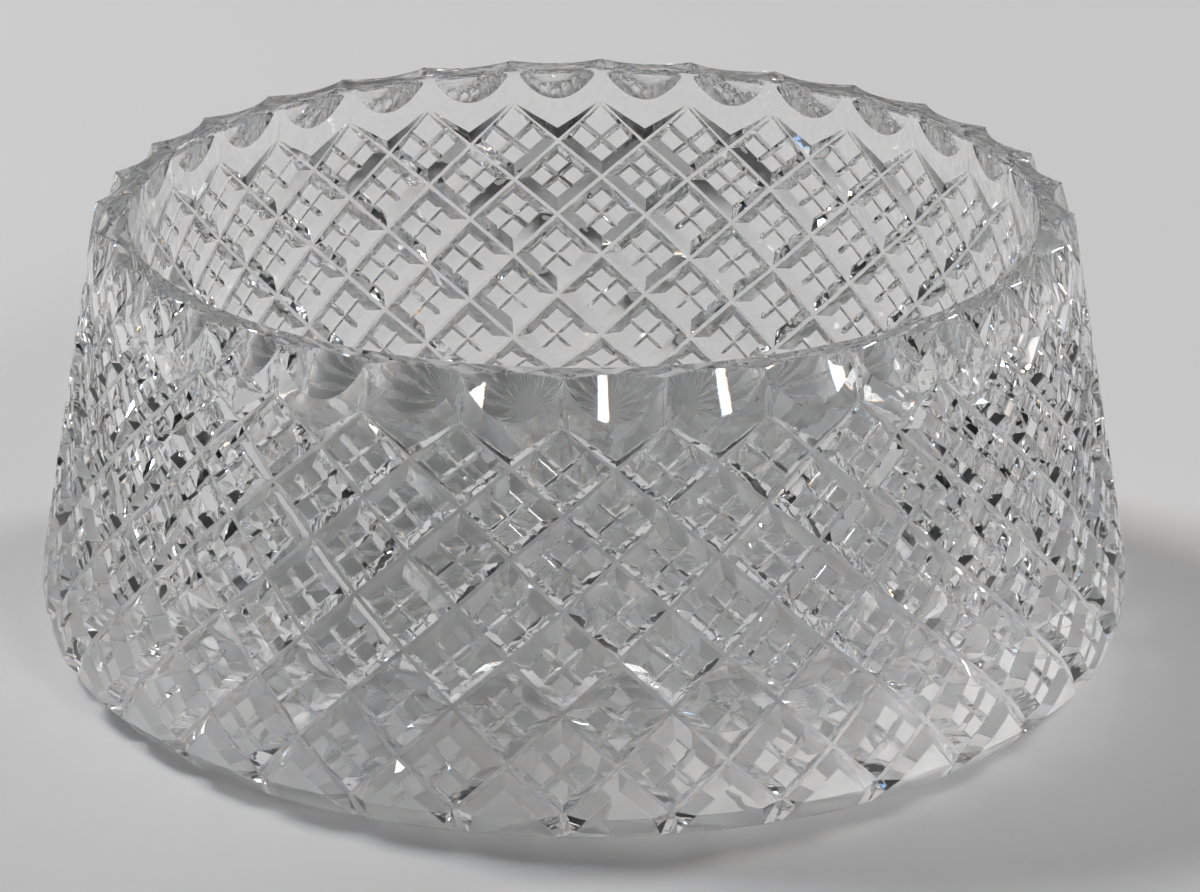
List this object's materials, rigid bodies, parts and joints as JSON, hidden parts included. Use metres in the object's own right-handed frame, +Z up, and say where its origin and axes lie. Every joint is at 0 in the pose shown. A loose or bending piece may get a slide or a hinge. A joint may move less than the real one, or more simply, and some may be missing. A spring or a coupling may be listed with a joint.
{
  "type": "cut crystal bowl",
  "caption": "Round thick-walled clear crystal bowl, narrower at the rim, with a scalloped lens-cut rim, a lattice of cross-cut diamonds and a plain inside.",
  "frame": {"origin": "centre of the flat underside", "axes": "+Z up along the bowl's axis; a point of the scalloped rim faces -Y, the front"},
  "size_m": [0.23, 0.23, 0.095],
  "materials": {
    "crystal": "polished clear lead crystal"
  },
  "bodies": {
    "root": {"crystal_bowl": "crystal"}
  },
  "joints": []
}
